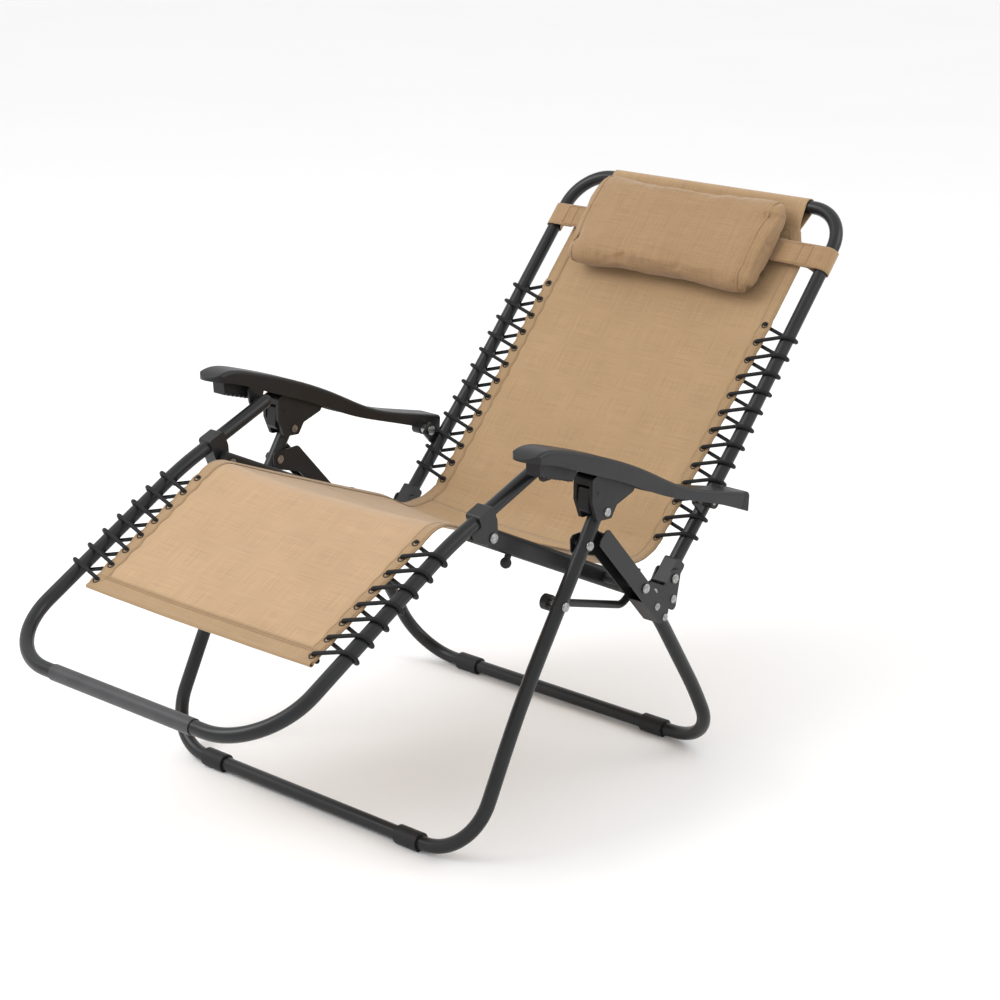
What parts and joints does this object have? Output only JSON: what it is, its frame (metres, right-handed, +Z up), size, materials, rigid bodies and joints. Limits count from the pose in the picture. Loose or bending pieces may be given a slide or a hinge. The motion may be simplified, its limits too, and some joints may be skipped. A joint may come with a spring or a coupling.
{
  "type": "zero gravity recliner",
  "caption": "Folding zero gravity recliner with a laced tan sling, padded headrest and moulded armrests on a charcoal tube frame.",
  "frame": {"origin": "middle of the chair's width and length, on the floor under the pads", "axes": "+X to the sitter's left, +Y from the footrest to the headrest, +Z up"},
  "size_m": [0.712, 1.3539, 0.8416],
  "materials": {
    "frame_paint": "satin charcoal powder coat",
    "rail_paint": "satin charcoal powder coat",
    "bracket_paint": "satin charcoal powder coat",
    "strut_steel": "dark coated round bar",
    "rivet_steel": "zinc plated",
    "sleeve_metal": "gunmetal",
    "black_plastic": "matt moulded",
    "arm_plastic": "fine moulded grain, soft sheen",
    "bumper_rubber": "matt",
    "back_cloth": "woven sling mesh",
    "seat_cloth": "woven sling mesh",
    "foot_cloth": "woven sling mesh",
    "lace_cord": "braided elastic",
    "pillow_cloth": "padded woven cloth",
    "strap_cloth": "woven webbing"
  },
  "bodies": {
    "seat_frame": {"seat_rail_left": "rail_paint", "seat_rail_right": "rail_paint", "rear_bracket_left": "bracket_paint", "rear_bracket_right": "bracket_paint", "rail_rivets": "rivet_steel", "rail_end_plugs": "black_plastic", "rail_bumpers": "bumper_rubber", "seat_pivot_bushes": "black_plastic", "seat_pivot_pins": "rivet_steel", "back_pivot_pins": "rivet_steel", "foot_pivot_pins": "rivet_steel", "seat_sling": "seat_cloth"},
    "rear_leg": {"rear_leg_frame": "frame_paint", "rear_leg_channel_left": "bracket_paint", "rear_leg_channel_right": "bracket_paint", "channel_rivets": "rivet_steel", "rear_floor_pads": "black_plastic", "leg_pivot_rivets": "rivet_steel"},
    "front_leg": {"front_leg_frame": "frame_paint", "front_floor_pads": "black_plastic", "strut_pivot_rivets": "rivet_steel"},
    "struts": {"fold_strut_left": "strut_steel", "fold_strut_right": "strut_steel"},
    "backrest": {"backrest_frame": "frame_paint", "back_lug_left": "bracket_paint", "back_lug_right": "bracket_paint", "arm_ear_left": "bracket_paint", "arm_ear_right": "bracket_paint", "arm_pivot_pins": "rivet_steel", "back_sling": "back_cloth", "back_lace_left": "lace_cord", "back_lace_right": "lace_cord"},
    "footrest": {"footrest_frame": "frame_paint", "knee_bracket_left": "bracket_paint", "knee_bracket_right": "bracket_paint", "foot_bar_sleeve": "sleeve_metal", "link_caps": "black_plastic", "foot_sling": "foot_cloth", "foot_lace_left": "lace_cord", "foot_lace_right": "lace_cord"},
    "headrest": {"headrest_pillow": "pillow_cloth", "headrest_straps": "strap_cloth"},
    "armrest_left": {"armrest_left": "arm_plastic", "armrest_end_cap_left": "black_plastic", "armrest_rack_left": "black_plastic"},
    "lock_left": {"lock_housing_left": "black_plastic", "lock_pin_left": "rivet_steel"},
    "lever_left": {"lock_lever_left": "black_plastic"},
    "armrest_right": {"armrest_right": "arm_plastic", "armrest_end_cap_right": "black_plastic", "armrest_rack_right": "black_plastic"},
    "lock_right": {"lock_housing_right": "black_plastic", "lock_pin_right": "rivet_steel"},
    "lever_right": {"lock_lever_right": "black_plastic"}
  },
  "joints": [
    {"name": "fold", "type": "hinge", "parent": "seat_frame", "child": "rear_leg", "pos_m": [0, 0.07218, 0.34031], "axis": [1, 0, 0], "range_deg": [0, 28]},
    {"name": "front_leg_fold", "type": "hinge", "parent": "rear_leg", "child": "front_leg", "pos_m": [0, -0.0573, 0.438], "axis": [1, 0, 0], "range_deg": [0, 61.6]},
    {"name": "strut_fold", "type": "hinge", "parent": "front_leg", "child": "struts", "pos_m": [0, -0.1102, 0.357], "axis": [1, 0, 0], "range_deg": [-97.07, 0]},
    {"name": "recline", "type": "hinge", "parent": "seat_frame", "child": "backrest", "pos_m": [0, 0.20462, 0.31141], "axis": [-1, 0, 0], "range_deg": [-28, 12], "deforming": ["seat_sling"]},
    {"name": "foot_recline", "type": "hinge", "parent": "seat_frame", "child": "footrest", "pos_m": [0, -0.219, 0.479], "axis": [-1, 0, 0], "range_deg": [-31.08, 13.32], "deforming": ["seat_sling"]},
    {"name": "arm_recline_left", "type": "hinge", "parent": "backrest", "child": "armrest_left", "pos_m": [0.33, 0.272, 0.425], "axis": [1, 0, 0], "range_deg": [-30.24, 12.96]},
    {"name": "lock_fold_left", "type": "hinge", "parent": "front_leg", "child": "lock_left", "pos_m": [0.33, -0.02695, 0.48465], "axis": [1, 0, 0], "range_deg": [-89.6, 0]},
    {"name": "lever_left", "type": "hinge", "parent": "lock_left", "child": "lever_left", "pos_m": [0.33, -0.051, 0.519], "axis": [1, 0, 0], "range_deg": [0, 20], "stiffness_Nm_per_rad": 0.05},
    {"name": "arm_recline_right", "type": "hinge", "parent": "backrest", "child": "armrest_right", "pos_m": [-0.33, 0.272, 0.425], "axis": [1, 0, 0], "range_deg": [-30.24, 12.96]},
    {"name": "lock_fold_right", "type": "hinge", "parent": "front_leg", "child": "lock_right", "pos_m": [-0.33, -0.02695, 0.48465], "axis": [1, 0, 0], "range_deg": [-89.6, 0]},
    {"name": "lever_right", "type": "hinge", "parent": "lock_right", "child": "lever_right", "pos_m": [-0.33, -0.051, 0.519], "axis": [1, 0, 0], "range_deg": [0, 20], "stiffness_Nm_per_rad": 0.05},
    {"name": "headrest_slide", "type": "slide", "parent": "backrest", "child": "headrest", "axis": [0, 0.6587, 0.7524], "range_m": [-0.09, 0]}
  ],
  "couplings": [
    {"joint": "front_leg_fold", "follows": "fold", "ratio": 2.2},
    {"joint": "strut_fold", "follows": "fold", "ratio": -3.4667},
    {"joint": "foot_recline", "follows": "recline", "ratio": 1.11},
    {"joint": "arm_recline_left", "follows": "recline", "ratio": 1.08},
    {"joint": "lock_fold_left", "follows": "fold", "ratio": -3.2},
    {"joint": "arm_recline_right", "follows": "recline", "ratio": 1.08},
    {"joint": "lock_fold_right", "follows": "fold", "ratio": -3.2}
  ]
}
